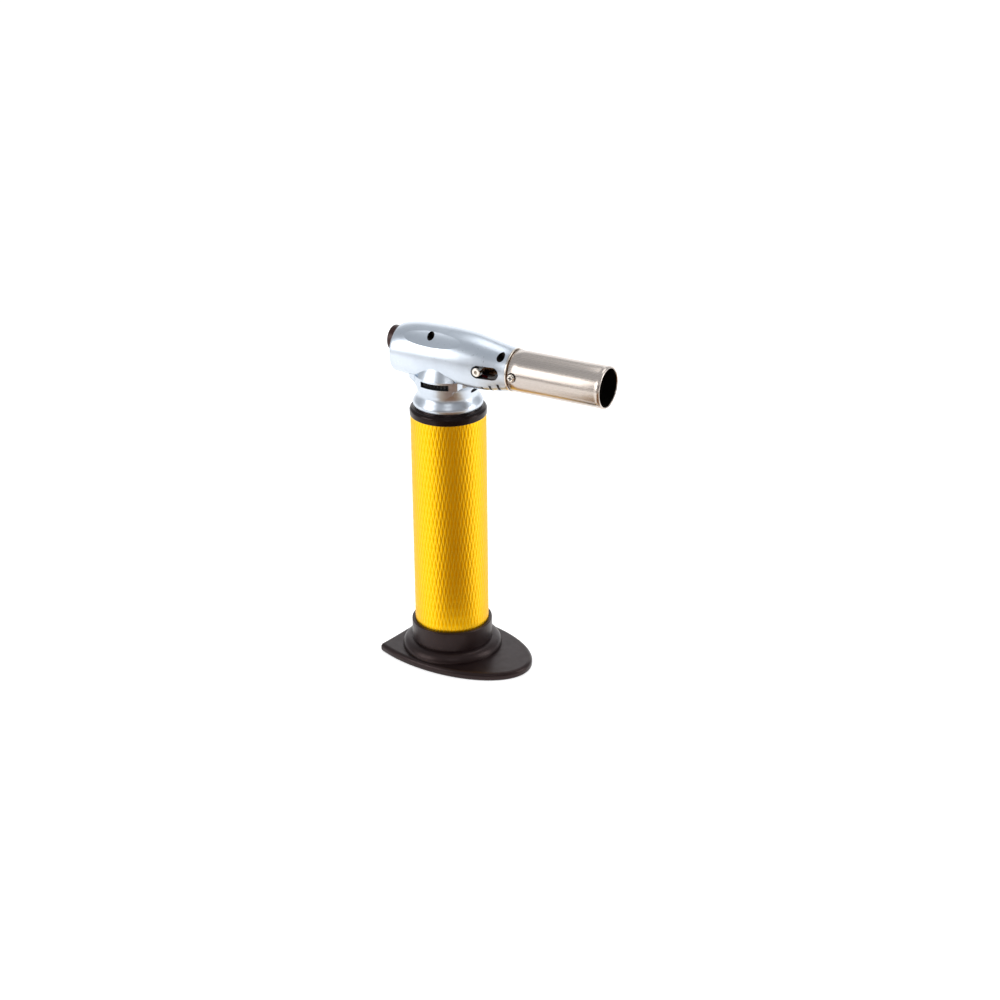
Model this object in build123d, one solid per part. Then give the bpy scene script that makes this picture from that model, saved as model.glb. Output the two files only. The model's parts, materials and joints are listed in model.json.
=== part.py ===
from build123d import *

import math
import os

# A hand-held refillable butane torch standing on its removable foot. Millimetres.
# The origin lies on the ground under the tank axis. +Z is up the tank, +X is the way the burner points,
# and the two die-cast halves of the head meet on the plane Y = 0.

# Removable foot
PLATE_T = 5.0
PLATE_HALF_X = 59.1
PLATE_HALF_Y = 33.3
PLATE_CENTRE_X = -3.2
PLATE_BACK_X = -34.4
PLATE_BACK_CORNER_X = -35.2
PLATE_TURN = -6.5
SKIRT_R = 30.6
SKIRT_TOP = 10.6
COLLAR_R = 24.6
COLLAR_BORE_R = 22.8
COLLAR_TOP = 23.2
FILLER_ACCESS_R = 6.5

# Tank and grip sleeve, about the Z axis
SLEEVE_R = 22.5
SLEEVE_WALL = 0.95
SLEEVE_BOTTOM = 5.6
SLEEVE_TOP = 157.8
TANK_R = 21.4
TANK_WALL = 2.0
TANK_FOOT = 8.0
TANK_TOP = 155.0
TANK_NECK_R = 15.0
TANK_NECK_TOP = 163.0
TANK_GROOVE_R = 13.4
TANK_GROOVE_Z = (158.4, 161.0)
BASE_BOTTOM = 5.4
PLUG_R = TANK_R - TANK_WALL - 0.05
PLUG_TOP = 16.0

# Filler valve, about the Z axis
FILLER_R = 4.5
FILLER_TOP = 21.0
PORT_R = 2.1
SEAT_Z = 9.2
CHAMBER_R = 2.65
CHAMBER_TOP = 17.0

# Cap ring and neck of the head, about the Z axis
CAP_TOP = 164.1
CAP_R = 22.9
CAP_BORE_R = 18.0
NECK_FOOT_R = 20.3
NECK_BORE_R = 15.2
NECK_CAVITY_R = 16.0
NECK_CAVITY_TOP = 186.0
DRUM_R = 19.9
DRUM_TOP = 183.5
SHOULDER_R = 15.6
SHOULDER_TOP = 192.0
PAD_X = (-10.0, 12.8)
PAD_BOTTOM = 174.3
PAD_CORNER_R = 4.5

# Regulating dial
DIAL_Z = 180.6
DIAL_R = 18.4
DIAL_T = 3.0
DIAL_TEETH = 54
DIAL_SLOT_X = (-7.2, 10.6)
DIAL_SLOT_H = 3.4
HUB_R = 5.4
STEM_R = 2.3
STEM_TOP = 184.6

# Head, lofted along X through stations of
# (x, half width, height of the widest place, top, squareness of the lower half)
HEAD_BOTTOM = 180.0
HEAD_REAR = -31.0
HEAD_FRONT = 44.9
HEAD_WALL = 2.2
HEAD_STATIONS = [
    (HEAD_REAR, 15.2, 194.0, 208.1, 2.4),
    (-20.0, 16.2, 194.2, 210.5, 2.8),
    (-4.0, 16.6, 194.4, 211.1, 3.2),
    (12.0, 16.2, 194.2, 210.6, 3.3),
    (27.0, 14.9, 193.5, 208.6, 3.6),
    (37.0, 13.6, 193.0, 206.5, 2.8),
    (HEAD_FRONT, 12.7, 192.8, 205.5, 2.0),
]
SECTION_POINTS = 20
SCOOP_X = -3.5
SCOOP_ANGLE = 47.0
SCOOP_R = 24.0
SCOOP_BOW_R = 345.0
SCOOP_DEPTH = 1.3
SCOOP_WALL = 1.2
CHIN_VENTS = [(30.4, 184.2), (35.5, 185.6), (40.5, 187.2)]
VENT_W = 1.5

# Barrel line, level, about which the burner parts are turned
BARREL_Z = 192.8
TUBE_R = 12.3
TUBE_WALL = 0.7
RING_FRONT = 46.1
TUBE_REAR = 46.7
TUBE_MOUTH = 105.0
TUBE_SCREW_X = 49.6
RING_R = 12.9
MOUNT_REAR = 40.6
MOUNT_FRONT = 55.5
STUB_R = 6.2
STUB_NECK_R = 5.65
FRONT_WALL_X = 42.0
MIXER_X = (22.0, 61.5)
MIXER_R = 5.0
MIXER_BORE_R = 4.0
AIR_HOLE_X = 35.5
HOLDER_X = (60.0, 65.0)
FLAME_TUBE_FRONT = 97.0
INSULATOR_Z = 185.1
INSULATOR_R = 1.4

# Air shutter on the mixing tube, and its pin in the slot
AIR_SLOT_X = (24.6, 41.2)
AIR_SLOT_Z = 193.1
AIR_SLOT_H = 7.5
PIN_X = 28.1
PIN_HEAD_R = 2.65
SHUTTER_X = (24.2, 31.8)
SHUTTER_R = 6.0
RUN_FIT = 0.08

# Gas line from the outlet valve to the jet
ELBOW_Z = 186.9
ELBOW_R = 3.2
HOSE_R = 1.5
HOSE_BORE_R = 0.8
HOSE_REAR = 4.2
HOSE_BEND_START = 8.4
HOSE_BEND_R = 4.6
JET_REAR = 20.2

# Housing screws along Y, as (x, z)
HOUSING_SCREWS = [(-5.5, 207.4), (40.8, 202.4)]
BOSS_R = 3.1
COUNTERBORE_R = 2.2
COUNTERBORE_FLOOR = 4.0
SCREW_R = 1.35
SCREW_REACH = 4.7

# Rear button and the igniter behind it
BUTTON_Z = 198.4
BUTTON_R = 7.8
BUTTON_HOLE_R = 8.1
BUTTON_X = (-37.0, -26.8)
PLUNGER_X = (-24.0, -5.0)
PIEZO_X = (-14.0, 8.0)
PIEZO_HALF_Y = 4.4
PIEZO_HALF_Z = 4.5

# Half the size of the box that cuts the head in two
FAR = 300.0


def rod(start, direction, length, radius, bore=0.0):
    """A round bar, or a tube where it has a bore, from start along direction."""
    outline = Circle(radius) - Circle(bore) if bore else Circle(radius)
    return extrude(Plane(origin=start, z_dir=direction) * outline, length)


def rod_x(x0, x1, radius, bore=0.0, y=0.0, z=BARREL_Z):
    return rod((x0, y, z), (1, 0, 0), x1 - x0, radius, bore)


def rod_y(y0, y1, radius, x, z=BARREL_Z):
    return rod((x, y0, z), (0, 1, 0), y1 - y0, radius)


def rod_z(z0, z1, radius, bore=0.0, x=0.0, y=0.0):
    return rod((x, y, z0), (0, 0, 1), z1 - z0, radius, bore)


def block(x, y, z):
    """A box given as its spans along X, Y and Z."""
    spans = (x, y, z)
    size = [high - low for low, high in spans]
    middle = [(low + high) / 2 for low, high in spans]
    return Pos(*middle) * Box(*size)


def turned_z(*edges):
    """A solid turned about the tank axis, from edges whose points are (radius, z)."""
    return revolve(Plane.XZ * make_face(edges), Axis.Z)


def turned_x(*edges):
    """A solid turned about the barrel line, from edges whose points are (x, radius)."""
    face = Pos(0, 0, BARREL_Z) * (Plane.XZ * make_face(edges))
    return revolve(face, Axis((0, 0, BARREL_Z), (1, 0, 0)))


def holes_round_barrel(count, pitch_r, radius, span, phase=0.0):
    """Holes along X, evenly spaced round the barrel line."""
    angles = [math.radians(phase + 360 * i / count) for i in range(count)]
    return [
        rod_x(*span, radius, y=pitch_r * math.cos(a), z=BARREL_Z + pitch_r * math.sin(a))
        for a in angles
    ]


def coil(mean_r, wire_r, length, turns):
    """A spring wound from the origin up Z."""
    path = Helix(pitch=length / turns, height=length, radius=mean_r)
    start = Plane(origin=path @ 0, z_dir=path % 0)
    return sweep(start * Circle(wire_r), path=path, is_frenet=True)


# ---- removable foot


def foot_outline():
    """An ellipse whose back end is cut off by a slightly hollow arc, turned a little off the burner."""
    sagitta = PLATE_BACK_X - PLATE_BACK_CORNER_X
    along = (PLATE_BACK_CORNER_X - PLATE_CENTRE_X) / PLATE_HALF_X
    half_chord = PLATE_HALF_Y * math.sqrt(1 - along**2)
    back_r = (half_chord**2 + sagitta**2) / (2 * sagitta)
    ellipse = Pos(PLATE_CENTRE_X, 0) * Ellipse(PLATE_HALF_X, PLATE_HALF_Y)
    return Rot(0, 0, PLATE_TURN) * (ellipse - Pos(PLATE_BACK_X - back_r, 0) * Circle(back_r))


def stand():
    """The moulded foot: a plate, a rounded skirt and the collar that grips the sleeve."""
    plate = extrude(foot_outline(), PLATE_T)
    plate = fillet(plate.edges().filter_by(Axis.Z), 2.6)
    plate = fillet(plate.edges().group_by(Axis.Z)[-1], 2.3)
    plate = fillet(plate.edges().group_by(Axis.Z)[0], 1.6)
    skirt_bottom = PLATE_T - 3
    bulge = math.sqrt(0.5)
    bend = (
        COLLAR_R + (SKIRT_R - COLLAR_R) * bulge,
        PLATE_T + (SKIRT_TOP - PLATE_T) * bulge,
    )
    rim_r = COLLAR_R - 0.8
    socket = turned_z(
        Polyline((0, skirt_bottom), (SKIRT_R, skirt_bottom), (SKIRT_R, PLATE_T)),
        ThreePointArc((SKIRT_R, PLATE_T), bend, (COLLAR_R, SKIRT_TOP)),
        Line((COLLAR_R, SKIRT_TOP), (COLLAR_R, COLLAR_TOP - 0.8)),
        RadiusArc((COLLAR_R, COLLAR_TOP - 0.8), (rim_r, COLLAR_TOP), -0.8),
        Polyline((rim_r, COLLAR_TOP), (0, COLLAR_TOP), (0, skirt_bottom)),
    )
    bore = rod_z(PLATE_T, COLLAR_TOP + 1, COLLAR_BORE_R)
    access = rod_z(-1, PLATE_T + 1, FILLER_ACCESS_R)
    return plate + socket - bore - access


# ---- tank, sleeve and filler valve


def grip_sleeve():
    tube = rod_z(SLEEVE_BOTTOM, SLEEVE_TOP, SLEEVE_R, SLEEVE_R - SLEEVE_WALL)
    return chamfer(tube.edges().group_by(Axis.Z)[-1].sort_by(SortBy.RADIUS)[-1], 0.3)


def fuel_tank():
    """The pressure vessel, open at its foot, with the necked top that the head clamps on."""
    outside = rod_z(TANK_FOOT, TANK_TOP, TANK_R) + rod_z(TANK_TOP, TANK_NECK_TOP, TANK_NECK_R)
    groove = rod_z(*TANK_GROOVE_Z, TANK_NECK_R + 1, TANK_GROOVE_R)
    inside = rod_z(TANK_FOOT, TANK_TOP - 3, TANK_R - TANK_WALL)
    valve_bore = rod_z(TANK_TOP - 4, TANK_NECK_TOP, 5.05)
    return outside - groove - inside - valve_bore


def tank_base():
    """The plug that closes the tank, with a groove for its seal and a bore for the filler valve."""
    plug = rod_z(BASE_BOTTOM, TANK_FOOT, TANK_R) + rod_z(TANK_FOOT, PLUG_TOP, PLUG_R)
    boss = rod_z(PLUG_TOP, PLUG_TOP + 3, 7.0)
    seal_groove = rod_z(10.9, 13.1, PLUG_R + 1, PLUG_R - 1.6)
    return plug + boss - seal_groove - rod_z(BASE_BOTTOM - 1, PLUG_TOP + 4, FILLER_R + 0.05)


def tank_base_seal():
    return Pos(0, 0, 12.0) * Torus(PLUG_R - 0.77, 0.8)


def filler_valve_body():
    body = rod_z(SLEEVE_BOTTOM, FILLER_TOP, FILLER_R)
    port = rod_z(SLEEVE_BOTTOM, SEAT_Z, PORT_R)
    chamber = rod_z(SEAT_Z, CHAMBER_TOP, CHAMBER_R)
    return body - port - chamber - rod_z(CHAMBER_TOP, FILLER_TOP, 1.05)


def filler_valve_seal():
    return rod_z(SEAT_Z, SEAT_Z + 1, CHAMBER_R - 0.05, 1.35)


def filler_valve_stem():
    """The pin that the gas can's nozzle lifts: its tip, a flange on the seal and a guide."""
    tip = rod_z(SEAT_Z + 0.1, SEAT_Z + 1.05, 1.1)
    flange = rod_z(SEAT_Z + 1.05, SEAT_Z + 2.05, 2.3)
    return tip + flange + rod_z(SEAT_Z + 2.05, CHAMBER_TOP + 1.2, 0.95)


def filler_valve_spring():
    return Pos(0, 0, SEAT_Z + 2.35) * coil(1.75, 0.25, CHAMBER_TOP - SEAT_Z - 2.7, 6)


def wick_tube():
    """The pickup tube that hangs from the outlet valve."""
    return rod_z(26.0, 150.0, 1.6, 0.9)


# ---- cap ring, outlet valve, regulating dial and hose


def cap_ring():
    """The ring that holds the two halves of the neck together on the tank."""
    shoulder = CAP_R - 1.3
    return turned_z(
        Polyline(
            (CAP_BORE_R, TANK_TOP),
            (TANK_R, TANK_TOP),
            (TANK_R, SLEEVE_TOP),
            (CAP_R, SLEEVE_TOP),
            (CAP_R, 161.6),
        ),
        RadiusArc((CAP_R, 161.6), (shoulder, 162.9), -1.3),
        Polyline(
            (shoulder, 162.9),
            (NECK_FOOT_R + 0.5, 163.0),
            (NECK_FOOT_R + 0.1, CAP_TOP),
            (CAP_BORE_R, CAP_TOP),
            (CAP_BORE_R, TANK_TOP),
        ),
    )


def outlet_valve_seal():
    return rod_z(TANK_NECK_TOP, TANK_NECK_TOP + 0.8, 6.8, 5.1)


def outlet_valve_body():
    """Screwed into the tank neck: threaded end, hexagon, and the stem that the dial turns on."""
    seat = TANK_NECK_TOP + 0.8
    hexagon = extrude(Pos(0, 0, seat) * RegularPolygon(7.2, 6), 2.6)
    threaded = rod_z(150.0, seat, 5.0)
    stem = rod_z(seat + 2.6, 176.0, 4.0) + rod_z(176.0, STEM_TOP, STEM_R)
    return threaded + hexagon + stem - rod_z(149.0, STEM_TOP, 0.9)


def outlet_elbow():
    """The banjo on the valve stem that turns the gas forward into the hose."""
    banjo = rod_z(STEM_TOP, STEM_TOP + 4.4, ELBOW_R) + rod_x(0, 4.0, 1.6, z=ELBOW_Z)
    barb = rod_x(4.0, 7.5, HOSE_BORE_R - 0.05, z=ELBOW_Z)
    passage = rod_x(0, 8.0, 0.4, z=ELBOW_Z) + rod_z(STEM_TOP, ELBOW_Z, 0.4)
    return banjo + barb - passage


def regulator_sleeve():
    """The brass nut that the dial turns on the valve stem to set the gas flow."""
    return rod_z(176.3, STEM_TOP - 1.1, HUB_R, STEM_R + RUN_FIT)


def gas_dial():
    """A toothed wheel whose rim shows in the slots on both sides of the neck."""
    bottom = DIAL_Z - DIAL_T / 2
    points = []
    for i in range(2 * DIAL_TEETH):
        angle = math.pi * i / DIAL_TEETH
        radius = DIAL_R if i % 2 else DIAL_R - 0.6
        points.append((radius * math.cos(angle), radius * math.sin(angle)))
    rim = extrude(Pos(0, 0, bottom) * make_face(Polyline(*points, close=True)), DIAL_T)
    hub_bore = rod_z(bottom, bottom + DIAL_T, HUB_R + 0.02)
    dish = rod_z(DIAL_Z, bottom + DIAL_T, DIAL_R - 2.4, HUB_R + 2.0)
    return rim - hub_bore - dish


def gas_hose():
    """An S of two equal arcs from the elbow up to the jet, with straight ends on the barbs."""
    turn = math.acos(1 - (BARREL_Z - ELBOW_Z) / (2 * HOSE_BEND_R))
    reach = HOSE_BEND_R * math.sin(turn)
    half_reach = HOSE_BEND_R * math.sin(turn / 2)
    half_rise = HOSE_BEND_R * (1 - math.cos(turn / 2))
    first = (HOSE_BEND_START, 0, ELBOW_Z)
    middle = (HOSE_BEND_START + reach, 0, (ELBOW_Z + BARREL_Z) / 2)
    last = (HOSE_BEND_START + 2 * reach, 0, BARREL_Z)
    path = Line((HOSE_REAR, 0, ELBOW_Z), first)
    path += ThreePointArc(first, (first[0] + half_reach, 0, ELBOW_Z + half_rise), middle)
    path += ThreePointArc(middle, (last[0] - half_reach, 0, BARREL_Z - half_rise), last)
    path += Line(last, (JET_REAR - 0.1, 0, BARREL_Z))
    wall = Circle(HOSE_R) - Circle(HOSE_BORE_R)
    return sweep(Plane(origin=path @ 0, z_dir=(1, 0, 0)) * wall, path=path)


# ---- head halves


def head_face(x, half_width, wide_z, top, squareness, inset):
    """A closed outline across the head: half an ellipse above its widest place, squarer below."""
    points = []
    for i in range(SECTION_POINTS):
        angle = math.pi / 2 + 2 * math.pi * i / SECTION_POINTS
        side, up = math.cos(angle), math.sin(angle)
        power = 1.0 if up >= 0 else 2 / squareness
        reach = top - wide_z if up >= 0 else wide_z - HEAD_BOTTOM
        y = (half_width - inset) * math.copysign(abs(side) ** power, side)
        z = wide_z + (reach - inset) * math.copysign(abs(up) ** power, up)
        points.append((x, y, z))
    return make_face(Spline(*points, periodic=True))


def head_loft(inset):
    return loft([head_face(*station, inset) for station in HEAD_STATIONS])


def scoop(side, margin):
    """The tool of one eye-shaped scoop: a bowed round bar laid against the upper side of the head."""
    angle = math.radians(SCOOP_ANGLE)
    outward = Vector(0, side * math.cos(angle), math.sin(angle))
    width, middle_z, top = HEAD_STATIONS[2][1:4]
    skin = math.hypot(width * math.cos(angle), (top - middle_z) * math.sin(angle))
    centre = Vector(SCOOP_X, 0, middle_z) + outward * (skin - SCOOP_DEPTH + SCOOP_BOW_R)
    plane = Plane(origin=centre, x_dir=(1, 0, 0), z_dir=Vector(1, 0, 0).cross(outward))
    return plane * Torus(SCOOP_BOW_R - SCOOP_R, SCOOP_R + margin)


def neck_outside():
    """The waisted neck, flared under the head, with a drum round the dial and a pad on each side."""
    foot = (NECK_FOOT_R, CAP_TOP)
    flare = (22.5, 180.9)
    trumpet = turned_z(
        Polyline((0, CAP_TOP), foot),
        Spline(foot, (20.7, 166.0), (18.2, 171.0), (18.6, 175.2), (20.1, 178.6), flare),
        Polyline(flare, (22.5, DRUM_TOP), (0, DRUM_TOP), (0, CAP_TOP)),
    )
    keep = rod_z(CAP_TOP - 1, 178.0, 21.5) + rod_z(177.0, DRUM_TOP, DRUM_R)
    keep += block((-FAR, FAR), (-13.5, 13.5), (177.0, DRUM_TOP))
    spigot = rod_z(TANK_TOP + 1, CAP_TOP, CAP_BORE_R - 0.15)
    return (trumpet & keep) + spigot + neck_pads()


def neck_pads():
    """The raised tongue on each side that carries the dial slot and leans in to the head above it."""
    skin = turned_z(
        Polyline(
            (0, PAD_BOTTOM),
            (DRUM_R, PAD_BOTTOM),
            (DRUM_R, DRUM_TOP),
            (SHOULDER_R, SHOULDER_TOP),
            (0, SHOULDER_TOP),
            (0, PAD_BOTTOM),
        )
    )
    tongue = block(PAD_X, (-FAR, FAR), (PAD_BOTTOM, SHOULDER_TOP))
    lower = tongue.edges().filter_by(Axis.Y).group_by(Axis.Z)[0]
    return skin & fillet(lower, PAD_CORNER_R)


def neck_cavity():
    groove = DIAL_Z - DIAL_T / 2 - 0.35, DIAL_Z + DIAL_T / 2 + 0.35
    return (
        rod_z(TANK_TOP, 158.8, NECK_BORE_R)
        + rod_z(158.8, 160.6, TANK_GROOVE_R + 0.2)
        + rod_z(160.6, CAP_TOP + 1, NECK_BORE_R)
        + rod_z(CAP_TOP + 1, NECK_CAVITY_TOP, NECK_CAVITY_R)
        + rod_z(*groove, DIAL_R + 0.35)
    )


def head_cavity():
    inner = head_loft(HEAD_WALL)
    inner &= block((HEAD_REAR + HEAD_WALL, FRONT_WALL_X), (-FAR, FAR), (0, FAR))
    for side in (-1, 1):
        inner -= scoop(side, SCOOP_WALL)
    return inner + neck_cavity()


def igniter_cradle():
    """Two ribs with a pocket for the igniter, and one that holds the jet."""
    pocket = block(
        (-FAR, FAR),
        (-PIEZO_HALF_Y - 0.05, PIEZO_HALF_Y + 0.05),
        (BUTTON_Z - PIEZO_HALF_Z - 0.05, BUTTON_Z + PIEZO_HALF_Z + 0.05),
    )
    ribs = block((-10.9, -9.1), (-FAR, FAR), (190.5, 206.0))
    ribs += block((3.1, 4.9), (-FAR, FAR), (190.5, 206.0))
    jet_rib = block((20.4, 21.8), (-FAR, FAR), (188.5, 204.0))
    return ribs - pocket + (jet_rib - rod_x(20.0, 22.0, 5.6))


def air_slot(y0, y1):
    """A round-ended slot through the side of the head."""
    radius = AIR_SLOT_H / 2
    rear, front = AIR_SLOT_X[0] + radius, AIR_SLOT_X[1] - radius
    middle = block((rear, front), (y0, y1), (AIR_SLOT_Z - radius, AIR_SLOT_Z + radius))
    return middle + rod_y(y0, y1, radius, rear, AIR_SLOT_Z) + rod_y(y0, y1, radius, front, AIR_SLOT_Z)


def head_openings():
    """Everything that is cut through the walls of both halves."""
    cuts = [air_slot(-FAR / 10, -7.0), air_slot(7.0, FAR / 10)]
    slot_z = DIAL_Z - DIAL_SLOT_H / 2, DIAL_Z + DIAL_SLOT_H / 2
    cuts.append(block(DIAL_SLOT_X, (-FAR, FAR), slot_z))
    for x, top in CHIN_VENTS:
        cuts.append(block((x - VENT_W / 2, x + VENT_W / 2), (-FAR, FAR), (170.0, top)))
    cuts.append(rod_x(HEAD_REAR - 1, -22.0, BUTTON_HOLE_R, z=BUTTON_Z))
    cuts.append(rod_x(FRONT_WALL_X, HEAD_FRONT, STUB_NECK_R + 0.05))
    cuts.append(rod_x(FRONT_WALL_X, HEAD_FRONT, INSULATOR_R + 0.1, z=INSULATOR_Z))
    cuts.append(front_window())
    return cuts


def front_window():
    """The small oval hole in the front of the neck, under the chin."""
    window = block((14.0, 24.0), (-3.2, 3.2), (174.8, 177.4))
    return window + rod_x(14.0, 24.0, 1.3, y=-3.2, z=176.1) + rod_x(14.0, 24.0, 1.3, y=3.2, z=176.1)


def head_casting():
    """Both halves as one, before they are parted."""
    shape = head_loft(0.0)
    shape = fillet(shape.faces().sort_by(Axis.X)[0].edges(), 1.8)
    for side in (-1, 1):
        shape -= scoop(side, 0.0)
    shape += neck_outside()
    bosses = [rod_y(-FAR / 10, FAR / 10, BOSS_R, x, z) for x, z in HOUSING_SCREWS]
    inserts = (igniter_cradle() + bosses) & shape
    shape -= head_cavity()
    shape += inserts
    return shape - head_openings()


def head_shell_right(casting):
    """The -Y half, with the deep counterbores that the housing screws go into."""
    half = casting & block((-FAR, FAR), (-FAR, 0), (0, FAR))
    for x, z in HOUSING_SCREWS:
        half -= rod_y(-FAR / 10, -COUNTERBORE_FLOOR, COUNTERBORE_R, x, z)
        half -= rod_y(-COUNTERBORE_FLOOR, 0, SCREW_R + 0.1, x, z)
    return half


def head_shell_left(casting):
    """The +Y half, with the blind bores that the housing screws cut their thread in."""
    half = casting & block((-FAR, FAR), (0, FAR), (0, FAR))
    for x, z in HOUSING_SCREWS:
        half -= rod_y(0, SCREW_REACH + 0.3, SCREW_R + 0.02, x, z)
    return half


def cross_recess(x, y, z, depth):
    """The cross cut of a screw head, from y inwards along +Y."""
    wide, narrow = 1.3, 0.32
    upright = block((x - narrow, x + narrow), (y, y + depth), (z - wide, z + wide))
    return upright + block((x - wide, x + wide), (y, y + depth), (z - narrow, z + narrow))


def housing_screws():
    """Two screws whose heads sit on the counterbore floors of the right half."""
    screws = []
    seat = -COUNTERBORE_FLOOR
    for x, z in HOUSING_SCREWS:
        head = rod_y(seat - 1.8, seat, COUNTERBORE_R - 0.15, x, z)
        screw = head + rod_y(seat, SCREW_REACH, SCREW_R, x, z)
        screws.append(screw - cross_recess(x, seat - 1.8, z, 0.9))
    return Compound(children=screws)


# ---- burner


def collar_ring():
    """The bright trim ring between the head and the burner tube."""
    ring = rod_x(HEAD_FRONT, RING_FRONT, RING_R, STUB_NECK_R + 0.3)
    ring = fillet(ring.edges().filter_by(GeomType.CIRCLE).sort_by(SortBy.RADIUS)[-2:], 0.4)
    return ring - rod_x(HEAD_FRONT, TUBE_REAR, INSULATOR_R + 0.1, z=INSULATOR_Z)


def burner_mount():
    """The spigot that carries the burner tube, with a grooved stub clamped between the halves."""
    face = RING_FRONT
    mount = turned_x(
        Polyline(
            (MOUNT_REAR, MIXER_R + 0.05),
            (MOUNT_REAR, STUB_R),
            (FRONT_WALL_X, STUB_R),
            (FRONT_WALL_X, STUB_NECK_R),
            (face, STUB_NECK_R),
            (face, TUBE_R - TUBE_WALL - 0.05),
            (MOUNT_FRONT, TUBE_R - TUBE_WALL - 0.05),
            (MOUNT_FRONT, 9.6),
            (face + 2, 9.6),
            (face + 2, MIXER_R + 0.05),
            (MOUNT_REAR, MIXER_R + 0.05),
        )
    )
    mount -= rod_x(face, MOUNT_FRONT, INSULATOR_R + 0.1, z=INSULATOR_Z)
    return mount - rod_y(-TUBE_R, TUBE_R, SCREW_R + 0.05, TUBE_SCREW_X)


def burner_tube():
    """The steel tube, with a rolled lip at the mouth and a hole for each of its two screws."""
    bore = TUBE_R - TUBE_WALL
    lip = TUBE_R - 1.1
    bend = 0.8
    tube = turned_x(
        Polyline((TUBE_REAR, bore), (TUBE_REAR, TUBE_R), (TUBE_MOUTH - bend, TUBE_R)),
        RadiusArc((TUBE_MOUTH - bend, TUBE_R), (TUBE_MOUTH, TUBE_R - bend), bend),
        Polyline(
            (TUBE_MOUTH, TUBE_R - bend),
            (TUBE_MOUTH, lip),
            (TUBE_MOUTH - 1.4, lip),
            (TUBE_MOUTH - 2.0, bore),
            (TUBE_REAR, bore),
        ),
    )
    return tube - rod_y(-TUBE_R - 1, TUBE_R + 1, SCREW_R + 0.15, TUBE_SCREW_X)


def burner_tube_screws():
    """One pan-head screw on each side of the tube."""
    head = fillet(rod_y(-TUBE_R - 1.6, -TUBE_R, 2.4, TUBE_SCREW_X).edges().group_by(Axis.Y)[0], 0.9)
    screw = head + rod_y(-TUBE_R, -9.8, SCREW_R, TUBE_SCREW_X)
    screw -= cross_recess(TUBE_SCREW_X, -TUBE_R - 1.6, BARREL_Z, 0.8)
    return Compound(children=[screw, mirror(screw, Plane.XZ)])


def jet_holder():
    """The brass piece that takes the gas from the hose and carries the jet and the mixing tube."""
    barb = rod_x(JET_REAR - 2.7, JET_REAR, HOSE_BORE_R - 0.05)
    disc = rod_x(JET_REAR, MIXER_X[0], 5.5)
    spigot = rod_x(MIXER_X[0], MIXER_X[0] + 3, MIXER_BORE_R - 0.03)
    return barb + disc + spigot - rod_x(JET_REAR - 3, MIXER_X[0] + 4, 0.45)


def gas_jet():
    """The pinhole nozzle at the front of the jet holder."""
    rear = MIXER_X[0] + 3
    nozzle = rod_x(rear, rear + 2, 1.8) + rod_x(rear + 2, rear + 3.5, 1.1)
    return nozzle - rod_x(rear, rear + 4, 0.2)


def mixing_tube():
    """The tube in which the gas draws its air through four holes."""
    tube = rod_x(*MIXER_X, MIXER_R, MIXER_BORE_R)
    across = rod_y(-MIXER_R - 1, MIXER_R + 1, 1.8, AIR_HOLE_X)
    upright = rod_z(BARREL_Z - MIXER_R - 1, BARREL_Z + MIXER_R + 1, 1.8, x=AIR_HOLE_X)
    return tube - across - upright


def air_shutter():
    return rod_x(*SHUTTER_X, SHUTTER_R, MIXER_R + RUN_FIT) - rod_y(-SHUTTER_R, 0, 1.1, PIN_X, AIR_SLOT_Z)


def air_shutter_pin():
    """The nickel pin that is pushed along the slot: a head with a socket, on a thinner shank."""
    head = rod_y(-15.6, -12.4, PIN_HEAD_R, PIN_X, AIR_SLOT_Z)
    head = fillet(head.edges().group_by(Axis.Y)[0], 0.5)
    socket = rod_y(-15.6, -14.2, 1.1, PIN_X, AIR_SLOT_Z)
    shank = rod_y(-12.4, -6.1, 1.6, PIN_X, AIR_SLOT_Z)
    tenon = rod_y(-6.1, -MIXER_R - 0.4, 1.05, PIN_X, AIR_SLOT_Z)
    return head + shank + tenon - socket


def flame_holder():
    """The perforated disc that the flame stands on."""
    disc = rod_x(*HOLDER_X, TUBE_R - TUBE_WALL - 0.1)
    disc -= rod_x(HOLDER_X[0], MIXER_X[1], MIXER_R + 0.05)
    disc -= rod_x(*HOLDER_X, 1.2)
    disc -= rod_x(*HOLDER_X, INSULATOR_R + 0.1, z=INSULATOR_Z)
    disc -= holes_round_barrel(6, 3.1, 0.8, HOLDER_X)
    return disc - holes_round_barrel(10, 8.8, 1.0, HOLDER_X, phase=18)


def flame_tube():
    """The inner tube that shields the root of the flame."""
    return rod_x(HOLDER_X[1], FLAME_TUBE_FRONT, 9.6, 9.0)


def ceramic_insulator():
    return rod_x(28.0, HOLDER_X[1] - 1, INSULATOR_R, 0.55, z=INSULATOR_Z)


def electrode():
    return rod_x(27.0, 72.0, 0.5, z=INSULATOR_Z)


def ignition_wire():
    """The insulated lead from the igniter round the jet to the electrode."""
    route = FilletPolyline(
        (PIEZO_X[1], 2.5, 196.5),
        (12.5, 2.5, 196.5),
        (15.5, 9.0, 190.5),
        (19.0, 7.0, 186.0),
        (23.5, 0.0, INSULATOR_Z),
        (27.0, 0.0, INSULATOR_Z),
        radius=1.6,
    )
    return sweep(Plane(origin=route @ 0, z_dir=route % 0) * Circle(0.7), path=route)


# ---- igniter


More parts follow.
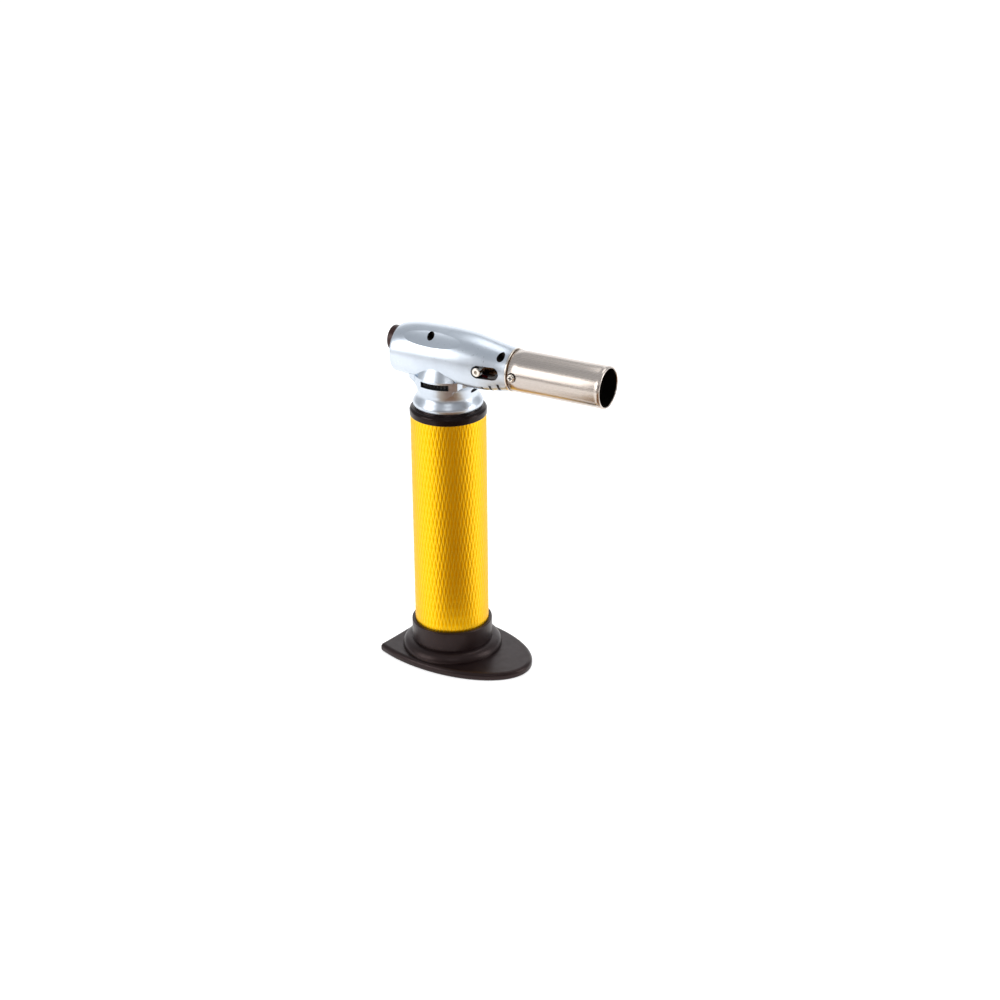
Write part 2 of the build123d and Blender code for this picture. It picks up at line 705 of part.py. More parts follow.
def ignition_button():
    """The push cap at the rear, hollow, with a post on the plunger and two lugs that keep it in."""
    rear, front = BUTTON_X
    cap = fillet(rod_x(rear, front, BUTTON_R, z=BUTTON_Z).edges().group_by(Axis.X)[0], 1.3)
    cap -= rod_x(rear + 2, front, BUTTON_R - 1.6, z=BUTTON_Z)
    post = rod_x(rear + 2, PLUNGER_X[0], 3.2, z=BUTTON_Z)
    lug_z = BUTTON_Z - 3, BUTTON_Z + 3
    lugs = [block((front - 1.7, front), (s * 8.1 - 1.3, s * 8.1 + 1.3), lug_z) for s in (-1, 1)]
    return cap + post + lugs


def button_spring():
    """Wound between the open end of the button and the flange of the igniter."""
    length = PIEZO_X[0] - BUTTON_X[1] - 1.0
    return Pos(BUTTON_X[1] + 0.5, 0, BUTTON_Z) * Rot(0, 90, 0) * coil(6.9, 0.4, length, 5)


def piezo_plunger():
    return block(PLUNGER_X, (-2.6, 2.6), (BUTTON_Z - 2.6, BUTTON_Z + 2.6))


def piezo_igniter():
    """The igniter's case: a block with a round flange for the spring and a bore for the plunger."""
    case = block(PIEZO_X, (-PIEZO_HALF_Y, PIEZO_HALF_Y), (BUTTON_Z - PIEZO_HALF_Z, BUTTON_Z + PIEZO_HALF_Z))
    flange = rod_x(PIEZO_X[0], PIEZO_X[0] + 1.4, 7.6, z=BUTTON_Z)
    bore = block((PIEZO_X[0], 1.0), (-2.9, 2.9), (BUTTON_Z - 2.9, BUTTON_Z + 2.9))
    return case + flange - bore


def main():
    casting = head_casting()
    nodes = {
        "stand": stand(),
        "grip_sleeve": grip_sleeve(),
        "fuel_tank": fuel_tank(),
        "tank_base": tank_base(),
        "tank_base_seal": tank_base_seal(),
        "filler_valve_body": filler_valve_body(),
        "filler_valve_seal": filler_valve_seal(),
        "filler_valve_stem": filler_valve_stem(),
        "filler_valve_spring": filler_valve_spring(),
        "wick_tube": wick_tube(),
        "cap_ring": cap_ring(),
        "outlet_valve_seal": outlet_valve_seal(),
        "outlet_valve_body": outlet_valve_body(),
        "outlet_elbow": outlet_elbow(),
        "regulator_sleeve": regulator_sleeve(),
        "gas_dial": gas_dial(),
        "gas_hose": gas_hose(),
        "head_shell_right": head_shell_right(casting),
        "head_shell_left": head_shell_left(casting),
        "housing_screws": housing_screws(),
        "collar_ring": collar_ring(),
        "burner_mount": burner_mount(),
        "burner_tube": burner_tube(),
        "burner_tube_screws": burner_tube_screws(),
        "jet_holder": jet_holder(),
        "gas_jet": gas_jet(),
        "mixing_tube": mixing_tube(),
        "air_shutter": air_shutter(),
        "air_shutter_pin": air_shutter_pin(),
        "flame_holder": flame_holder(),
        "flame_tube": flame_tube(),
        "ceramic_insulator": ceramic_insulator(),
        "electrode": electrode(),
        "ignition_wire": ignition_wire(),
        "ignition_button": ignition_button(),
        "button_spring": button_spring(),
        "piezo_plunger": piezo_plunger(),
        "piezo_igniter": piezo_igniter(),
    }
    os.makedirs("parts", exist_ok=True)
    for name, shape in nodes.items():
        export_step(shape, f"parts/{name}.step")


main()
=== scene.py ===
"""Studio view of a small hand-held gas torch on its push-on foot.

Lengths named in millimetres are turned into metres by MM. The frame is the CAD frame: the filler axis
is Z, the burner points along +X, and the foot stands on Z = 0.
"""
import json
import math

import bmesh
import bpy
import numpy as np
from mathutils import Matrix, Vector

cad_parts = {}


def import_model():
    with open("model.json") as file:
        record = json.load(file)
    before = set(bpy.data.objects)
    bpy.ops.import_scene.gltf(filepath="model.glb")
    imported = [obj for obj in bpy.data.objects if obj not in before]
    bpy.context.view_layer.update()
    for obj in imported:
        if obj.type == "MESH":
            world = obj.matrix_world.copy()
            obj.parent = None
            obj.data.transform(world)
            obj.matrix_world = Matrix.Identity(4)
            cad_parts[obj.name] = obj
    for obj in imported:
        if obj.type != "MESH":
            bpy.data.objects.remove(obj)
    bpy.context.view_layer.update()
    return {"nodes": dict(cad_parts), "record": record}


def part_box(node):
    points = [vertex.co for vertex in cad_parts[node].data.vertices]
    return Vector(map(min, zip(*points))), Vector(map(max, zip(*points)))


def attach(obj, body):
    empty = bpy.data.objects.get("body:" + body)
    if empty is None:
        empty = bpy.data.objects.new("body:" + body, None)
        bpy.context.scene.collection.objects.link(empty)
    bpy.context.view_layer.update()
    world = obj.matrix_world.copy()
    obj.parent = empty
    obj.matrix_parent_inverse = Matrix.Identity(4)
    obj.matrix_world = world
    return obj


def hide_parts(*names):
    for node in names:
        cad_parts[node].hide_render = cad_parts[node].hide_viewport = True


MM = 0.001

# Camera: where it stands, the way it faces and its lens.
CAMERA_AT = (0.5805, -0.9548, 0.6099)
CAMERA_HEADING = 29.76
CAMERA_PITCH = 24.50
CAMERA_ROLL = -0.445
CAMERA_LENS = 73.6
SENSOR_WIDTH = 36.0
CLIP_END = 100.0

# Sizes in millimetres that repeat the CAD's own. Screws are (x, z), vents are (x, top).
BARREL_Z = 192.8
NECK_TOP = 181.0
SLEEVE_R = 22.5
SLEEVE_WALL = 0.95
TUBE_R = 12.3
TUBE_WALL = 0.7
TUBE_SCREW_X = 49.6
HOUSING_SCREWS = [(-5.5, 207.4), (40.8, 202.4)]
CHIN_VENTS = [(30.4, 184.2), (35.5, 185.6), (40.5, 187.2)]

# Knurling in millimetres: grooves of each hand around the sleeve, steps from one to the next, row height.
KNURL_CELLS = 60
KNURL_SHARE = 8
KNURL_ROW = 1.40
GROOVE = 0.24

# Wells of the sunk screws in millimetres. LOOK is where a ray finds the shell beside the hole, and SINK
# is how far below the surface found the well ends.
SCREW_STEPS = 48
WELL_BORE = 2.10
WELL_SKIN = 2.17
WELL_FLOOR_Y = -3.9
WELL_SHALLOWEST_Y = -4.5
WELL_MISSED_Y = -6.0
WELL_LOOK = 2.3
WELL_SINK = 0.12

# Throats of the chin vents in millimetres: heights below the top of the slit, half width, and as above.
VENT_DROPS = (4.6, 3.2, 1.8, 0.4)
VENT_HALF = 0.7
VENT_LOOK = 1.2
VENT_SINK = 0.35
RAY_FROM_Y = 40.0

# Finish of the plastics' highlights, and of all noise.
WARM = (1.0, 0.76, 0.74, 1.0)
WHITE = (1.0, 1.0, 1.0, 1.0)
NOISE_ROUGHNESS = 0.55

# Studio, in metres
SUBJECT = (0.03, 0.0, 0.12)
FLOOR_HALF = 30.0
FLOOR_GLOW = 0.62
FAN_HEIGHT = 0.002
FAN_REACH = (0.07, 1.4)
FAN_STEPS = 24
FAN_BROWN = (0.26, 0.115, 0.045)
FAN_TAN = (0.50, 0.36, 0.22)
FLAG_SHADE = (0.07, 0.055, 0.05)


# ---------------------------------------------------------------- materials


class Finish:
    """A procedural material that is put together node by node."""

    def __init__(self, name):
        self.material = bpy.data.materials.new(name)
        self.material.use_nodes = True
        self.tree = self.material.node_tree
        self.tree.nodes.clear()
        self.bsdf = self.node("ShaderNodeBsdfPrincipled")
        out = self.node("ShaderNodeOutputMaterial")
        self.link(self.bsdf.outputs[0], out.inputs["Surface"])
        self.place = self.node("ShaderNodeTexCoord").outputs["Object"]

    def node(self, kind, **settings):
        made = self.tree.nodes.new(kind)
        for name, value in settings.items():
            setattr(made, name, value)
        return made

    def link(self, a, b):
        self.tree.links.new(a, b)

    def set(self, **values):
        """Constant values on the shader's own sockets."""
        for name, value in values.items():
            self.bsdf.inputs[name.replace("_", " ")].default_value = value

    def feed(self, socket, value):
        """A value that varies over the surface goes into one of the shader's sockets."""
        self.link(value, self.bsdf.inputs[socket])

    def stretched(self, scale):
        """Object coordinates scaled differently along each axis."""
        mapping = self.node("ShaderNodeMapping")
        mapping.inputs["Scale"].default_value = scale
        self.link(self.place, mapping.inputs["Vector"])
        return mapping.outputs["Vector"]

    def noise(self, scale, detail=3.0, at=None):
        made = self.node("ShaderNodeTexNoise")
        made.inputs["Scale"].default_value = scale
        made.inputs["Detail"].default_value = detail
        made.inputs["Roughness"].default_value = NOISE_ROUGHNESS
        self.link(self.place if at is None else at, made.inputs["Vector"])
        return made.outputs["Fac"]

    def ramp(self, value, stops):
        """Colour ramp. Each stop is (position, grey value or colour)."""
        made = self.node("ShaderNodeValToRGB")
        ramp = made.color_ramp
        while len(ramp.elements) < len(stops):
            ramp.elements.new(0.5)
        for element, (position, colour) in zip(ramp.elements, stops):
            element.position = position
            if not hasattr(colour, "__len__"):
                colour = (colour,) * 3
            element.color = (*colour, 1.0)
        self.link(value, made.inputs["Fac"])
        return made.outputs["Color"]

    def remap(self, value, low, high, start=0.3, end=0.7):
        """The range from start to end becomes low to high."""
        made = self.node("ShaderNodeMapRange")
        made.inputs["From Min"].default_value = start
        made.inputs["From Max"].default_value = end
        made.inputs["To Min"].default_value = low
        made.inputs["To Max"].default_value = high
        self.link(value, made.inputs["Value"])
        return made.outputs["Result"]

    def bump(self, height, distance, strength):
        made = self.node("ShaderNodeBump")
        made.inputs["Strength"].default_value = strength
        made.inputs["Distance"].default_value = distance
        self.link(height, made.inputs["Height"])
        return made.outputs["Normal"]


def moulded(name, dark, light, roughness, gloss=0.5, tint=WHITE):
    """Moulded plastic: fine tool grain, slightly uneven colour and gloss."""
    f = Finish(name)
    patches = f.noise(90.0, 4.0)
    f.feed("Base Color", f.ramp(patches, [(0.3, dark), (0.75, light)]))
    f.feed("Roughness", f.remap(f.noise(240.0, 5.0), roughness - 0.05, roughness + 0.07))
    f.feed("Normal", f.bump(f.noise(2600.0, 2.0), 0.012 * MM, 0.6))
    f.set(Specular_IOR_Level=gloss, Specular_Tint=tint)
    return f.material


def metal(name, dark, light, roughness):
    """Plain machined, plated or sooty metal: cloudy colour, fine uneven surface."""
    f = Finish(name)
    fine = f.noise(900.0, 4.0)
    f.feed("Base Color", f.ramp(f.noise(60.0), [(0.25, dark), (0.75, light)]))
    f.feed("Roughness", f.remap(fine, roughness - 0.06, roughness + 0.1))
    f.feed("Normal", f.bump(fine, 0.004 * MM, 0.7))
    f.set(Metallic=1.0)
    return f.material


def satin_casting():
    """Satin-plated die casting: fine grain all over, and the most even gloss on the neck."""
    f = Finish("cast_head")
    height = f.node("ShaderNodeSeparateXYZ")
    f.link(f.place, height.inputs[0])
    neck = f.remap(height.outputs["Z"], 0.0, 1.0, NECK_TOP * MM, (NECK_TOP - 5.0) * MM)
    f.feed("Base Color", f.ramp(f.noise(70.0), [(0.3, (0.56, 0.61, 0.67)), (0.7, (0.64, 0.69, 0.75))]))
    rough = f.remap(f.noise(900.0, 4.0), 0.27, 0.37)
    mixed = f.node("ShaderNodeMix")
    f.link(neck, mixed.inputs["Factor"])
    f.link(rough, mixed.inputs["A"])
    mixed.inputs["B"].default_value = 0.33
    f.feed("Roughness", mixed.outputs["Result"])
    f.feed("Normal", f.bump(f.noise(3800.0, 2.0), 0.005 * MM, 0.4))
    f.set(Metallic=1.0)
    return f.material


def sleeve_yellow():
    """Yellow anodised aluminium, paler along the knurled grooves as a painted highlight, told by their
    radius.
    """
    f = Finish("sleeve_coating")
    reach = f.node("ShaderNodeSeparateXYZ")
    f.link(f.place, reach.inputs[0])
    square_x = f.node("ShaderNodeMath", operation="MULTIPLY")
    f.link(reach.outputs["X"], square_x.inputs[0])
    f.link(reach.outputs["X"], square_x.inputs[1])
    sum_sq = f.node("ShaderNodeMath", operation="MULTIPLY_ADD")
    f.link(reach.outputs["Y"], sum_sq.inputs[0])
    f.link(reach.outputs["Y"], sum_sq.inputs[1])
    f.link(square_x.outputs[0], sum_sq.inputs[2])
    radius = f.node("ShaderNodeMath", operation="SQRT")
    f.link(sum_sq.outputs[0], radius.inputs[0])
    # Painted highlight: the grooves are coloured paler than the diamonds, standing in for light caught
    # along the knurl lines.
    raised = f.remap(radius.outputs[0], 0.0, 1.0, (SLEEVE_R - GROOVE) * MM, (SLEEVE_R - 0.02) * MM)
    f.feed("Base Color", f.ramp(raised, [(0.0, (1.0, 0.72, 0.08)), (0.35, (1.0, 0.64, 0.02)),
                                         (0.85, (0.96, 0.50, 0.0))]))
    f.feed("Roughness", f.remap(f.noise(500.0, 4.0), 0.30, 0.40))
    f.set(Metallic=0.88, Specular_IOR_Level=0.1)
    return f.material


def brushed_tube():
    """Stainless steel, brushed along its length, faintly straw-coloured towards the mouth."""
    f = Finish("tube_steel")
    along = f.node("ShaderNodeSeparateXYZ")
    f.link(f.place, along.inputs[0])
    warm = f.remap(along.outputs["X"], 0.0, 1.0, 0.060, 0.110)
    f.feed("Base Color", f.ramp(warm, [(0.0, (0.53, 0.47, 0.425)), (1.0, (0.60, 0.53, 0.475))]))
    lines = f.noise(2600.0, 4.0, at=f.stretched((0.008, 1.0, 1.0)))
    f.feed("Roughness", f.remap(lines, 0.20, 0.32))
    f.feed("Normal", f.bump(lines, 0.0012 * MM, 0.5))
    f.set(Metallic=1.0)
    return f.material


def make_finishes():
    """One finish for each material slot of the record, by the slot's name."""
    plastics = {
        "foot_plastic": ((0.0085, 0.0045, 0.0045), (0.0135, 0.0075, 0.0075), 0.34, 0.33, WARM),
        "tank_nylon": ((0.62, 0.6, 0.55), (0.7, 0.68, 0.62), 0.4),
        "seal_rubber": ((0.012, 0.012, 0.012), (0.02, 0.02, 0.02), 0.6),
        "ring_plastic": ((0.004, 0.0022, 0.0022), (0.007, 0.004, 0.004), 0.22, 0.2, WARM),
        "dial_plastic": ((0.005, 0.0045, 0.0045), (0.009, 0.008, 0.0075), 0.42, 0.3),
        "hose_plastic": ((0.35, 0.33, 0.3), (0.42, 0.4, 0.36), 0.4),
        "ceramic_white": ((0.75, 0.73, 0.7), (0.82, 0.8, 0.77), 0.35),
        "wire_rubber": ((0.3, 0.02, 0.015), (0.36, 0.03, 0.02), 0.5),
        "button_plastic": ((0.022, 0.008, 0.0065), (0.034, 0.013, 0.010), 0.30, 0.4, WARM),
    }
    metals = {
        # brass is darkened far below real brass: painted shade for the parts seen inside the head's air
        # slot.
        "brass": ((0.15, 0.075, 0.03), (0.24, 0.12, 0.05), 0.25),
        "spring_steel": ((0.4, 0.4, 0.4), (0.5, 0.5, 0.5), 0.3),
        "nickel_plate": ((0.66, 0.60, 0.53), (0.76, 0.70, 0.63), 0.16),
        # burnt_steel also colours the pieces that are painted shade: screw wells, vent throats, tube screw
        # marks and the tube bore.
        "burnt_steel": ((0.02, 0.017, 0.015), (0.06, 0.048, 0.04), 0.55),
    }
    finishes = {name: moulded(name, *recipe) for name, recipe in plastics.items()}
    finishes.update({name: metal(name, *recipe) for name, recipe in metals.items()})
    finishes.update(sleeve_coating=sleeve_yellow(), cast_head=satin_casting(), tube_steel=brushed_tube())
    return finishes


def dress_cad(frame, finishes):
    """Every carried-over CAD node gets the procedural finish of its slot."""
    slots = {part["node"]: part["material_slot"] for part in frame["record"]["subparts"]}
    for name, node in frame["nodes"].items():
        if not node.material_slots:
            node.data.materials.append(None)
        for holder in node.material_slots:
            holder.material = finishes[slots[name]]


# ---------------------------------------------------------------- mesh helpers


def mesh_piece(name, points, faces, finishes, slot, stands_for=None, sharp=50.0):
    """A smooth-shaded mesh piece from millimetres, riding on the torch body. It takes its finish from the
    slot, and may replace a CAD node. Edges sharper than the angle stay sharp."""
    mesh = bpy.data.meshes.new(name)
    mesh.from_pydata([tuple(c * MM for c in p) for p in points], [], faces)
    mesh.validate()
    tidy = bmesh.new()
    tidy.from_mesh(mesh)
    bmesh.ops.recalc_face_normals(tidy, faces=tidy.faces)
    tidy.to_mesh(mesh)
    tidy.free()
    mesh.polygons.foreach_set("use_smooth", [True] * len(mesh.polygons))
    mesh.set_sharp_from_angle(angle=math.radians(sharp))
    mesh.materials.append(finishes[slot])
    made = bpy.data.objects.new(name, mesh)
    bpy.context.scene.collection.objects.link(made)
    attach(made, "torch_body")
    if stands_for:
        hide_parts(stands_for)
    return made


def softened(profile, radius, steps=4):
    """The profile with each of its corners rounded by a short curve."""
    count = len(profile)
    rounded = []
    for i, corner in enumerate(profile):
        corner = np.array(corner, float)
        before = np.array(profile[i - 1], float) - corner
        after = np.array(profile[(i + 1) % count], float) - corner
        cut = min(radius, 0.45 * np.hypot(*before), 0.45 * np.hypot(*after))
        start = corner + before / np.hypot(*before) * cut
        end = corner + after / np.hypot(*after) * cut
        for k in range(steps + 1):
            t = k / steps
            rounded.append(tuple((1 - t) ** 2 * start + 2 * t * (1 - t) * corner + t**2 * end))
    return rounded


def turned(profile, place, segments=128):
    """Points and faces of a closed profile of (along, radius) turned full circle.
    place puts (along, radius, angle) in the frame."""
    points = [place(along, radius, 2 * math.pi * k / segments)
              for k in range(segments) for along, radius in profile]
    count = len(profile)
    faces = []
    for k in range(segments):
        near, far = k * count, (k + 1) % segments * count
        for i in range(count):
            j = (i + 1) % count
            faces.append((near + i, near + j, far + j, far + i))
    return points, faces


def round_z(along, radius, angle):
    return radius * math.cos(angle), radius * math.sin(angle), along


def round_barrel(along, radius, angle):
    return along, radius * math.cos(angle), BARREL_Z + radius * math.sin(angle)


# ---------------------------------------------------------------- pieces


def grip_sleeve(finishes):
    """The knurled sleeve: two crossing families of steep grooves cut a lattice of long diamonds."""
    low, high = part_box("grip_sleeve")
    bottom, top = low[2] / MM, high[2] / MM
    share = KNURL_SHARE
    around = KNURL_CELLS * share
    rows = int((top - bottom) / KNURL_ROW)
    points, faces = [], []
    for j in range(rows + 1):
        z = bottom + (top - bottom) * j / rows
        for i in range(around):
            one, two = (i - j) % share, (i + j) % share
            reach = min(one, share - one, two, share - two)
            depth = (GROOVE, 0.30 * GROOVE, 0.0)[min(reach, 2)]
            if j in (0, rows):
                depth = GROOVE * 0.5
            angle = 2 * math.pi * i / around
            radius = SLEEVE_R - depth
            points.append((radius * math.cos(angle), radius * math.sin(angle), z))
    for j in range(rows):
        for i in range(around):
            k = (i + 1) % around
            a, b = j * around + i, j * around + k
            faces.append((a, b, b + around, a + around))
    first = len(points)
    inner = SLEEVE_R - SLEEVE_WALL
    for z in (bottom, top):
        for i in range(around):
            angle = 2 * math.pi * i / around
            points.append((inner * math.cos(angle), inner * math.sin(angle), z))
    last = rows * around
    for i in range(around):
        k = (i + 1) % around
        faces.append((first + i, first + k, first + around + k, first + around + i))
        faces.append((i, k, first + k, first + i))
        faces.append((last + i, last + k, first + around + k, first + around + i))
    return mesh_piece("knurled_sleeve", points, faces, finishes, "sleeve_coating", "grip_sleeve", 60.0)


def burner_tube(finishes):
    """The steel tube: thin wall, faint waist behind a broad rolled lip at the mouth."""
    low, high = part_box("burner_tube")
    rear, mouth = low[0] / MM, high[0] / MM
    bore = TUBE_R - TUBE_WALL
    lip = [(-3.6, 12.30), (-2.9, 12.24), (-2.3, 12.28), (-1.7, 12.38), (-1.1, 12.36), (-0.6, 12.22),
           (-0.25, 12.0), (-0.05, 11.7), (0.0, 11.45), (-0.15, 11.2), (-0.6, 11.08), (-1.2, 11.15),
           (-1.8, bore)]
    profile = [(rear, bore), (rear, TUBE_R - 0.15), (rear + 0.15, TUBE_R), (rear + 6, TUBE_R),
               (mouth - 12, TUBE_R)]
    profile += [(mouth + along, radius) for along, radius in lip]
    profile += [(mouth - 12, bore), (rear + 6, bore)]
    points, faces = turned(profile, round_barrel, 160)
    tube = mesh_piece("rolled_tube", points, faces, finishes, "tube_steel", "burner_tube")
    # Painted shade: the bore, all but the last 0.8 mm at the mouth, takes the dark burnt_steel finish.
    tube.data.materials.append(finishes["burnt_steel"])
    for face in tube.data.polygons:
        off_axis = Vector((0, face.center.y, face.center.z - BARREL_Z * MM)).length
        if off_axis < (bore + 0.1) * MM and face.center.x < (mouth - 0.8) * MM:
            face.material_index = 1
    return tube


def joined(parts):
    """The points and faces of several (points, faces) pairs as one mesh."""
    points, faces = [], []
    for more_points, more_faces in parts:
        start = len(points)
        points += more_points
        faces += [tuple(start + i for i in face) for face in more_faces]
    return points, faces


def surface_y(shell, x, z, side):
    """Where the shell's outer surface lies at (x, z) on the side of -Y or +Y, or None beside the shell."""
    start = Vector((x, side * RAY_FROM_Y, z)) * MM
    hit, spot, _, _ = shell.ray_cast(start, Vector((0.0, -side, 0.0)))
    return spot.y / MM if hit else None


def screw_well(shell, x, z):
    """A thin dark lining of the counterbore, painted shade for its depth, its outer edge following the
    casting's surface.
    """
    points, faces = [], []
    for i in range(SCREW_STEPS):
        angle = 2 * math.pi * i / SCREW_STEPS
        across, up = math.cos(angle), math.sin(angle)
        found = surface_y(shell, x + WELL_LOOK * across, z + WELL_LOOK * up, -1)
        outer = WELL_MISSED_Y if found is None else min(found, WELL_SHALLOWEST_Y) + WELL_SINK
        for y, r in ((outer, WELL_BORE), (outer, WELL_SKIN), (WELL_FLOOR_Y, WELL_SKIN),
                     (WELL_FLOOR_Y, WELL_BORE)):
            points.append((x + r * across, y, z + r * up))
        here, there = 4 * i, 4 * ((i + 1) % SCREW_STEPS)
        faces += [(here + a, here + b, there + b, there + a)
                  for a, b in ((0, 1), (1, 2), (2, 3), (3, 0))]
    return points, faces


def screw_head(x, z):
    """The head on the floor of its well, dark as painted shade, as (y, radius) turned about the screw."""
    profile = [(-5.9, 0.0), (-5.9, 0.9), (-5.6, 1.75), (-4.2, 2.0), (-4.0, 2.0), (-4.0, 0.0)]
    return turned(profile, lambda y, r, t: (x + r * math.cos(t), y, z + r * math.sin(t)), SCREW_STEPS)


def housing_screws(frame, finishes):
    """The two sunk screws: dark heads at the end of dark wells, painted shade for the depth of the wells.
    """
    shell = frame["nodes"]["head_shell_right"]
    points, faces = joined(part for x, z in HOUSING_SCREWS
                           for part in (screw_well(shell, x, z), screw_head(x, z)))
    return mesh_piece("sunk_screws", points, faces, finishes, "burnt_steel", "housing_screws")


def vent_throat(shell, x, top, side):
    """A strip of painted shade just inside one slit, following the casting's surface down to its lower
    edge.
    """
    rows = []
    for drop in VENT_DROPS:
        found = surface_y(shell, x - VENT_LOOK, top - drop, side)
        if found is not None:
            rows.append((top - drop, side * (abs(found) - VENT_SINK)))
    points, faces = [], []
    for (low, y0), (high, y1) in zip(rows, rows[1:]):
        faces.append(tuple(len(points) + i for i in range(4)))
        points += [(x - VENT_HALF, y0, low), (x + VENT_HALF, y0, low),
                   (x + VENT_HALF, y1, high), (x - VENT_HALF, y1, high)]
    return points, faces


def vent_wells(frame, finishes):
    """Painted shade in the throats of the three chin vents on both sides."""
    shells = {-1: frame["nodes"]["head_shell_right"], 1: frame["nodes"]["head_shell_left"]}
    points, faces = joined(vent_throat(shells[side], x, top, side)
                           for x, top in CHIN_VENTS for side in shells)
    return mesh_piece("vent_throats", points, faces, finishes, "burnt_steel")


def tube_screw_mark(side):
    """One dark ring, a painted contact shadow, as (y, radius) turned about the screw, and the two bars of
    its cross, painted shade of the driver recess.
    """
    def place(along, radius, angle):
        return (TUBE_SCREW_X + radius * math.cos(angle), side * along,
                BARREL_Z + radius * math.sin(angle))

    shadow_ring = [(11.9, 2.0), (11.9, 2.85), (12.42, 2.75), (12.5, 2.3)]
    bar_y = (13.2, 13.93)
    sides = [(0, 1, 2, 3), (4, 5, 6, 7), (0, 1, 5, 4), (1, 2, 6, 5), (2, 3, 7, 6), (3, 0, 4, 7)]
    parts = [turned(shadow_ring, place, SCREW_STEPS)]
    for wide, tall in ((1.35, 0.36), (0.36, 1.35)):
        corners = [(TUBE_SCREW_X + a * wide, side * y, BARREL_Z + b * tall)
                   for y in bar_y for a, b in ((-1, -1), (1, -1), (1, 1), (-1, 1))]
        parts.append((corners, sides))
    return parts


def tube_screw_marks(finishes):
    """Dark ring under each tube screw, a painted contact shadow, and the dark cross of its driver recess,
    painted shade.
    """
    points, faces = joined(part for side in (-1, 1) for part in tube_screw_mark(side))
    return mesh_piece("tube_screw_painted_shade", points, faces, finishes, "burnt_steel")


def cap_ring(finishes):
    """The black ring between sleeve and neck: a low step, then a broad band with a turned-in top."""
    profile = [(155.0, 18.0), (155.0, 21.4), (157.8, 21.4), (157.8, 22.9), (161.6, 22.9),
               (162.9, 21.7), (163.0, 20.8), (164.1, 20.4), (164.1, 18.0)]
    points, faces = turned(softened(profile, 0.7), round_z, 160)
    return mesh_piece("neck_cap", points, faces, finishes, "ring_plastic", "cap_ring")


# ---------------------------------------------------------------- studio


def floor():
    """White paper under the foot. It moves with the foot, so a torch at the foot's limit stands clear."""
    mesh = bpy.data.meshes.new("studio_floor")
    far = FLOOR_HALF
    mesh.from_pydata([(-far, -far, 0), (far, -far, 0), (far, far, 0), (-far, far, 0)], [], [(0, 1, 2, 3)])
    plane = bpy.data.objects.new("studio_floor", mesh)
    bpy.context.scene.collection.objects.link(plane)
    f = Finish("studio_paper")
    f.feed("Base Color", f.ramp(f.noise(3.0), [(0.3, 0.83), (0.7, 0.86)]))
    f.set(Roughness=0.9, Emission_Color=WHITE, Emission_Strength=FLOOR_GLOW)
    mesh.materials.append(f.material)
    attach(plane, "stand")


def softbox(name, at, width, height, power):
    """A soft rectangular light that faces the subject."""
    data = bpy.data.lights.new(name, "AREA")
    data.shape = "RECTANGLE"
    data.size = width
    data.size_y = height
    data.energy = power
    light = bpy.data.objects.new(name, data)
    light.location = at
    light.rotation_euler = (Vector(SUBJECT) - Vector(at)).to_track_quat("-Z", "Y").to_euler()
    bpy.context.scene.collection.objects.link(light)


def surroundings():
    """A dim room whose far side and ceiling are paler than the side where the camera stands."""
    world = bpy.data.worlds.new("studio")
    bpy.context.scene.world = world
    world.use_nodes = True
    tree = world.node_tree
    way = tree.nodes.new("ShaderNodeTexCoord").outputs["Generated"]
    far_side = tree.nodes.new("ShaderNodeVectorMath")
    far_side.operation = "DOT_PRODUCT"
    far_side.inputs[1].default_value = (-0.30, 0.55, 0.78)
    tree.links.new(way, far_side.inputs[0])
    ramp = tree.nodes.new("ShaderNodeValToRGB")
    ramp.color_ramp.elements[0].position = 0.25
    ramp.color_ramp.elements[0].color = (0.17, 0.16, 0.16, 1)
    ramp.color_ramp.elements[1].position = 0.70
    ramp.color_ramp.elements[1].color = (0.55, 0.57, 0.60, 1)
    half = tree.nodes.new("ShaderNodeMath")
    half.operation = "MULTIPLY_ADD"
    half.inputs[1].default_value = 0.5
    half.inputs[2].default_value = 0.5
    tree.links.new(far_side.outputs["Value"], half.inputs[0])
    tree.links.new(half.outputs[0], ramp.inputs["Fac"])
    tree.links.new(ramp.outputs["Color"], tree.nodes["Background"].inputs["Color"])


def reflected_only(name, points, faces, shade):
    """A matt card that shows in reflections and nowhere else, and casts no shadow."""
    mesh = bpy.data.meshes.new(name)
    mesh.from_pydata(points, [], faces)
    card = bpy.data.objects.new(name, mesh)
    bpy.context.scene.collection.objects.link(card)
    card.visible_camera = False
    card.visible_transmission = False
    card.visible_diffuse = False
    card.visible_shadow = False
    f = Finish(name)
    paler = tuple(1.2 * part for part in shade)
    f.feed("Base Color", f.ramp(f.noise(20.0), [(0.3, shade), (0.7, paler)]))
    f.set(Roughness=0.9)
    mesh.materials.append(f.material)


def flag(name, middle, across, along, heading):
    """A dark upright card, as a photographer puts one beside the set."""
    turn = Matrix.Rotation(math.radians(heading), 3, "Z")
    across, along, middle = turn @ Vector(across), turn @ Vector(along), Vector(middle)
    reflected_only(name, [middle - across - along, middle + across - along,
                          middle + across + along, middle - across + along],
                   [(0, 1, 2, 3)], FLAG_SHADE)


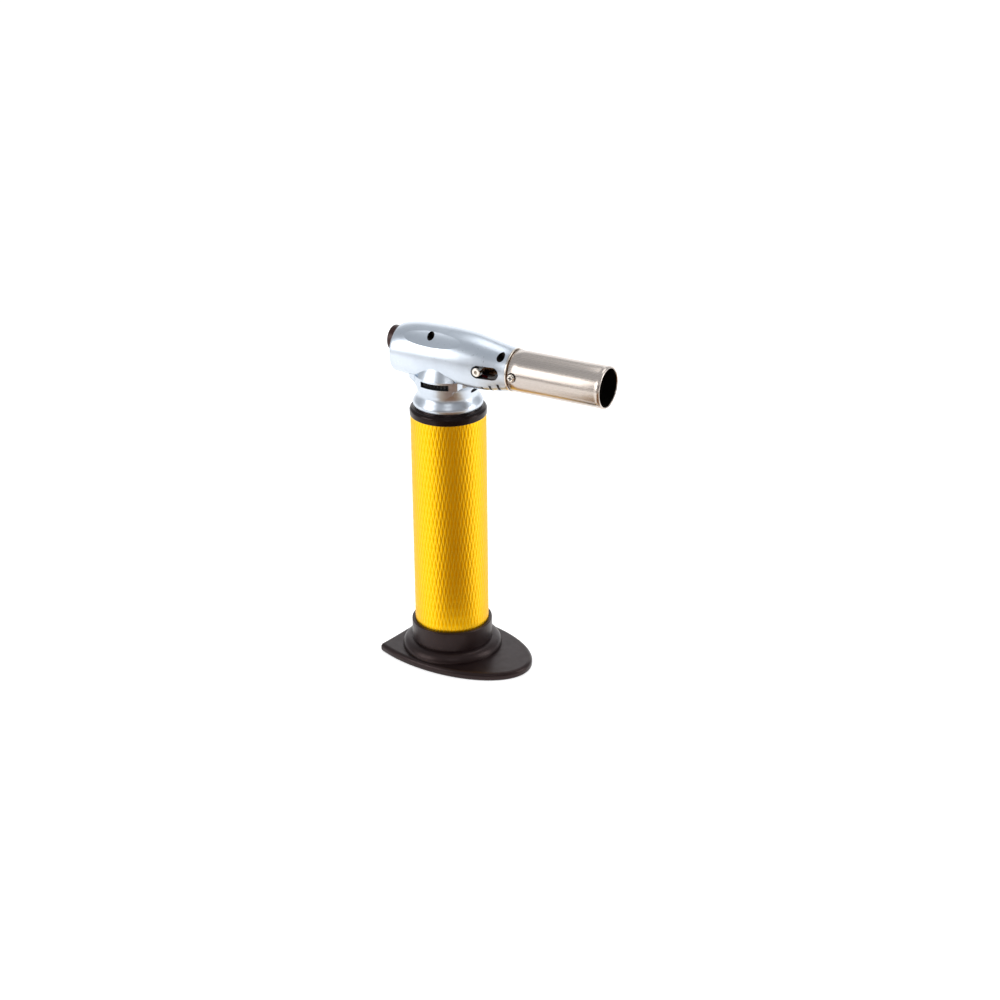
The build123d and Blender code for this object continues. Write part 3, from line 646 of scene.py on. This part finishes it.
def fan(start, end, shade):
    """A sector of floor between two angles about the tank axis, for the warm streak down the sleeve."""
    angles = [math.radians(start + (end - start) * i / FAN_STEPS) for i in range(FAN_STEPS + 1)]
    points = [(r * math.cos(a), r * math.sin(a), FAN_HEIGHT) for a in angles for r in FAN_REACH]
    faces = [(2 * i, 2 * i + 1, 2 * i + 3, 2 * i + 2) for i in range(FAN_STEPS)]
    reflected_only("flag_" + str(int(-start)), points, faces, shade)


def studio():
    surroundings()
    softbox("key_left", (-0.75, -1.00, 0.60), 0.75, 0.85, 6.2)
    softbox("fill_right", (1.15, 0.45, 0.55), 0.5, 0.9, 5.0)
    softbox("top", (0.0, 0.5, 1.4), 0.8, 0.8, 3.0)
    softbox("backdrop", (-0.7, 1.5, 0.55), 2.2, 1.0, 6.0)
    softbox("front", (0.52, -0.92, 0.88), 0.35, 0.22, 0.7)
    flag("flag_low", (-0.36, -0.84, 0.075), (0.45, 0.0, 0.0), (0.0, 0.0, 0.06), heading=-27.0)
    fan(-96.0, -76.0, FAN_TAN)
    fan(-76.0, -22.0, FAN_BROWN)
    fan(-22.0, 2.0, FAN_TAN)
    bpy.context.scene.view_settings.view_transform = "Standard"


def camera():
    data = bpy.data.cameras.new("camera")
    data.lens = CAMERA_LENS
    data.sensor_width = SENSOR_WIDTH
    data.clip_end = CLIP_END
    made = bpy.data.objects.new("camera", data)
    turn = (Matrix.Rotation(math.radians(CAMERA_HEADING), 4, "Z")
            @ Matrix.Rotation(math.radians(90.0 - CAMERA_PITCH), 4, "X")
            @ Matrix.Rotation(math.radians(CAMERA_ROLL), 4, "Z"))
    made.matrix_world = Matrix.Translation(CAMERA_AT) @ turn
    bpy.context.scene.collection.objects.link(made)
    bpy.context.scene.camera = made


def main():
    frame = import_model()
    finishes = make_finishes()
    dress_cad(frame, finishes)
    grip_sleeve(finishes)
    burner_tube(finishes)
    cap_ring(finishes)
    housing_screws(frame, finishes)
    tube_screw_marks(finishes)
    vent_wells(frame, finishes)
    floor()
    studio()
    camera()


main()
